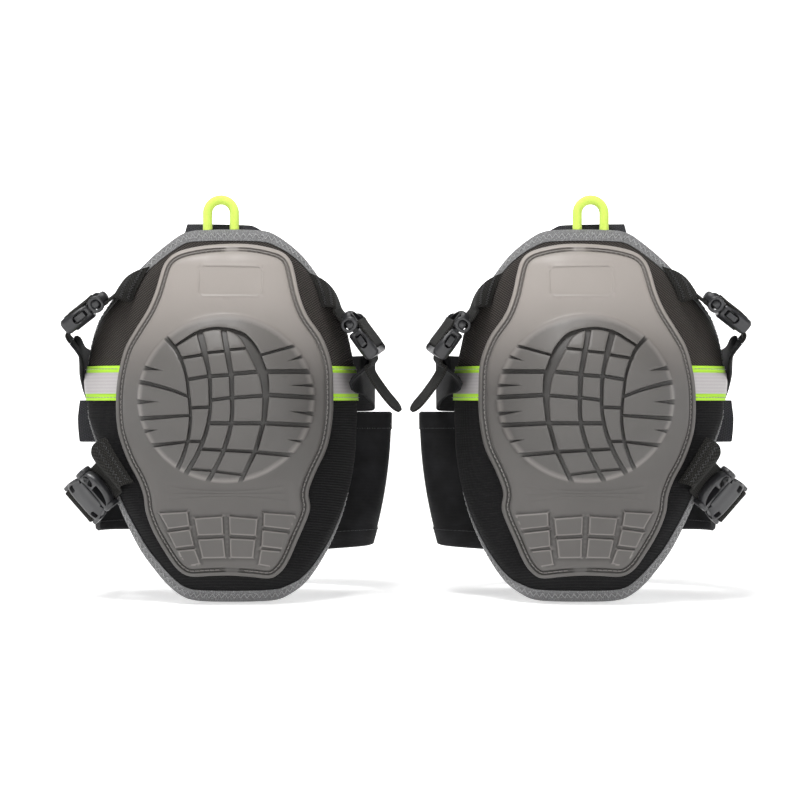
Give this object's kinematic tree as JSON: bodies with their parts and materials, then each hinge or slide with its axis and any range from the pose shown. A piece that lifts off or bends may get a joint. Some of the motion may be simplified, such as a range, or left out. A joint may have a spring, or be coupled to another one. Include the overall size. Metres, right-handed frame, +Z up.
{
  "type": "knee pads",
  "caption": "Strap-on work knee pads: domed rubber caps on layered padded shells with a bound edge, a reflective band, a pull loop, side-release buckles and elastic straps behind the leg.",
  "frame": {"origin": "midway between the two pads, at the height of the middle of the knee and on the axis of the leg hollows", "axes": "+X from the left pad to the right pad as worn facing -Y seen from the front, -Y out of the caps, +Z up the leg"},
  "size_m": [0.4636, 0.1775, 0.2718],
  "materials": {
    "cap_rubber": "satin",
    "gel": "satin",
    "foam": "matte",
    "cover_fabric": "matte",
    "liner_fabric": "matte",
    "edge_tape": "matte",
    "hi_vis": "matte",
    "reflective": "satin",
    "hi_vis_cord": "matte",
    "webbing": "matte",
    "elastic": "matte",
    "buckle_plastic": "satin"
  },
  "bodies": {
    "left_pad": {"left_cap": "cap_rubber", "left_gel_insert": "gel", "left_foam_core": "foam", "left_cover": "cover_fabric", "left_liner": "liner_fabric", "left_binding": "edge_tape", "left_hi_vis_ribbon": "hi_vis", "left_reflective_tape": "reflective", "left_pull_loop": "hi_vis_cord", "left_top_tab": "webbing", "left_side_tab": "webbing", "left_upper_anchor_web": "webbing", "left_lower_anchor_web": "webbing", "left_thigh_strap": "elastic", "left_calf_panel": "elastic", "left_upper_outer_plug": "buckle_plastic", "left_upper_inner_plug": "buckle_plastic", "left_lower_outer_plug": "buckle_plastic"},
    "left_upper_outer_socket": {"left_upper_outer_socket": "buckle_plastic", "left_upper_outer_web": "webbing"},
    "left_upper_outer_latch_a": {"left_upper_outer_latch_a": "buckle_plastic"},
    "left_upper_outer_latch_b": {"left_upper_outer_latch_b": "buckle_plastic"},
    "left_upper_inner_socket": {"left_upper_inner_socket": "buckle_plastic", "left_upper_inner_web": "webbing"},
    "left_upper_inner_latch_a": {"left_upper_inner_latch_a": "buckle_plastic"},
    "left_upper_inner_latch_b": {"left_upper_inner_latch_b": "buckle_plastic"},
    "left_lower_outer_socket": {"left_lower_outer_socket": "buckle_plastic", "left_lower_outer_web": "webbing"},
    "left_lower_outer_latch_a": {"left_lower_outer_latch_a": "buckle_plastic"},
    "left_lower_outer_latch_b": {"left_lower_outer_latch_b": "buckle_plastic"},
    "right_pad": {"right_cap": "cap_rubber", "right_gel_insert": "gel", "right_foam_core": "foam", "right_cover": "cover_fabric", "right_liner": "liner_fabric", "right_binding": "edge_tape", "right_hi_vis_ribbon": "hi_vis", "right_reflective_tape": "reflective", "right_pull_loop": "hi_vis_cord", "right_top_tab": "webbing", "right_side_tab": "webbing", "right_upper_anchor_web": "webbing", "right_lower_anchor_web": "webbing", "right_thigh_strap": "elastic", "right_calf_panel": "elastic", "right_upper_outer_plug": "buckle_plastic", "right_upper_inner_plug": "buckle_plastic", "right_lower_outer_plug": "buckle_plastic"},
    "right_upper_outer_socket": {"right_upper_outer_socket": "buckle_plastic", "right_upper_outer_web": "webbing"},
    "right_upper_outer_latch_a": {"right_upper_outer_latch_a": "buckle_plastic"},
    "right_upper_outer_latch_b": {"right_upper_outer_latch_b": "buckle_plastic"},
    "right_upper_inner_socket": {"right_upper_inner_socket": "buckle_plastic", "right_upper_inner_web": "webbing"},
    "right_upper_inner_latch_a": {"right_upper_inner_latch_a": "buckle_plastic"},
    "right_upper_inner_latch_b": {"right_upper_inner_latch_b": "buckle_plastic"},
    "right_lower_outer_socket": {"right_lower_outer_socket": "buckle_plastic", "right_lower_outer_web": "webbing"},
    "right_lower_outer_latch_a": {"right_lower_outer_latch_a": "buckle_plastic"},
    "right_lower_outer_latch_b": {"right_lower_outer_latch_b": "buckle_plastic"}
  },
  "joints": [
    {"name": "pads_apart", "type": "slide", "parent": "left_pad", "child": "right_pad", "axis": [1, 0, 0], "range_m": [0, 0.03]},
    {"name": "left_upper_outer_release", "type": "slide", "parent": "left_pad", "child": "left_upper_outer_socket", "axis": [-0.788, 0, -0.6157], "range_m": [0, 0.016], "deforming": ["left_thigh_strap"]},
    {"name": "left_upper_outer_latch_a_squeeze", "type": "hinge", "parent": "left_pad", "child": "left_upper_outer_latch_a", "pos_m": [-0.20839, -0.05836, 0.0629], "axis": [-0.6063, -0.1736, 0.776], "range_deg": [-23, 0]},
    {"name": "left_upper_outer_latch_b_squeeze", "type": "hinge", "parent": "left_pad", "child": "left_upper_outer_latch_b", "pos_m": [-0.21042, -0.03964, 0.0655], "axis": [-0.6063, -0.1736, 0.776], "range_deg": [0, 23]},
    {"name": "left_upper_inner_release", "type": "slide", "parent": "left_pad", "child": "left_upper_inner_socket", "axis": [0.6018, 0, -0.7986], "range_m": [0, 0.016], "deforming": ["left_thigh_strap"]},
    {"name": "left_upper_inner_latch_a_squeeze", "type": "hinge", "parent": "left_pad", "child": "left_upper_inner_latch_a", "pos_m": [-0.03155, -0.03421, 0.05134], "axis": [0.7812, -0.2079, 0.5887], "range_deg": [-23, 0]},
    {"name": "left_upper_inner_latch_b_squeeze", "type": "hinge", "parent": "left_pad", "child": "left_upper_inner_latch_b", "pos_m": [-0.03471, -0.05279, 0.04896], "axis": [0.7812, -0.2079, 0.5887], "range_deg": [0, 23]},
    {"name": "left_lower_outer_release", "type": "slide", "parent": "left_pad", "child": "left_lower_outer_socket", "axis": [-0.5337, 0.7071, -0.4639], "range_m": [0, 0.016], "deforming": ["left_calf_panel"]},
    {"name": "left_lower_outer_latch_a_squeeze", "type": "hinge", "parent": "left_pad", "child": "left_lower_outer_latch_a", "pos_m": [-0.20199, -0.04668, -0.06676], "axis": [-0.5337, -0.7071, -0.4639], "range_deg": [-23, 0]},
    {"name": "left_lower_outer_latch_b_squeeze", "type": "hinge", "parent": "left_pad", "child": "left_lower_outer_latch_b", "pos_m": [-0.21446, -0.04668, -0.05242], "axis": [-0.5337, -0.7071, -0.4639], "range_deg": [0, 23]},
    {"name": "right_upper_outer_release", "type": "slide", "parent": "right_pad", "child": "right_upper_outer_socket", "axis": [0.788, 0, -0.6157], "range_m": [0, 0.016], "deforming": ["right_thigh_strap"]},
    {"name": "right_upper_outer_latch_a_squeeze", "type": "hinge", "parent": "right_pad", "child": "right_upper_outer_latch_a", "pos_m": [0.20839, -0.05836, 0.0629], "axis": [0.6063, -0.1736, 0.776], "range_deg": [0, 23]},
    {"name": "right_upper_outer_latch_b_squeeze", "type": "hinge", "parent": "right_pad", "child": "right_upper_outer_latch_b", "pos_m": [0.21042, -0.03964, 0.0655], "axis": [0.6063, -0.1736, 0.776], "range_deg": [-23, 0]},
    {"name": "right_upper_inner_release", "type": "slide", "parent": "right_pad", "child": "right_upper_inner_socket", "axis": [-0.6018, 0, -0.7986], "range_m": [0, 0.016], "deforming": ["right_thigh_strap"]},
    {"name": "right_upper_inner_latch_a_squeeze", "type": "hinge", "parent": "right_pad", "child": "right_upper_inner_latch_a", "pos_m": [0.03155, -0.03421, 0.05134], "axis": [-0.7812, -0.2079, 0.5887], "range_deg": [0, 23]},
    {"name": "right_upper_inner_latch_b_squeeze", "type": "hinge", "parent": "right_pad", "child": "right_upper_inner_latch_b", "pos_m": [0.03471, -0.05279, 0.04896], "axis": [-0.7812, -0.2079, 0.5887], "range_deg": [-23, 0]},
    {"name": "right_lower_outer_release", "type": "slide", "parent": "right_pad", "child": "right_lower_outer_socket", "axis": [0.5337, 0.7071, -0.4639], "range_m": [0, 0.016], "deforming": ["right_calf_panel"]},
    {"name": "right_lower_outer_latch_a_squeeze", "type": "hinge", "parent": "right_pad", "child": "right_lower_outer_latch_a", "pos_m": [0.20199, -0.04668, -0.06676], "axis": [0.5337, -0.7071, -0.4639], "range_deg": [0, 23]},
    {"name": "right_lower_outer_latch_b_squeeze", "type": "hinge", "parent": "right_pad", "child": "right_lower_outer_latch_b", "pos_m": [0.21446, -0.04668, -0.05242], "axis": [0.5337, -0.7071, -0.4639], "range_deg": [-23, 0]}
  ],
  "couplings": [
    {"joint": "left_upper_outer_latch_a_squeeze", "follows": "left_upper_outer_release", "rad_per_m": -25},
    {"joint": "left_upper_outer_latch_b_squeeze", "follows": "left_upper_outer_release", "rad_per_m": 25},
    {"joint": "left_upper_inner_latch_a_squeeze", "follows": "left_upper_inner_release", "rad_per_m": -25},
    {"joint": "left_upper_inner_latch_b_squeeze", "follows": "left_upper_inner_release", "rad_per_m": 25},
    {"joint": "left_lower_outer_latch_a_squeeze", "follows": "left_lower_outer_release", "rad_per_m": -25},
    {"joint": "left_lower_outer_latch_b_squeeze", "follows": "left_lower_outer_release", "rad_per_m": 25},
    {"joint": "right_upper_outer_latch_a_squeeze", "follows": "right_upper_outer_release", "rad_per_m": 25},
    {"joint": "right_upper_outer_latch_b_squeeze", "follows": "right_upper_outer_release", "rad_per_m": -25},
    {"joint": "right_upper_inner_latch_a_squeeze", "follows": "right_upper_inner_release", "rad_per_m": 25},
    {"joint": "right_upper_inner_latch_b_squeeze", "follows": "right_upper_inner_release", "rad_per_m": -25},
    {"joint": "right_lower_outer_latch_a_squeeze", "follows": "right_lower_outer_release", "rad_per_m": 25},
    {"joint": "right_lower_outer_latch_b_squeeze", "follows": "right_lower_outer_release", "rad_per_m": -25}
  ]
}
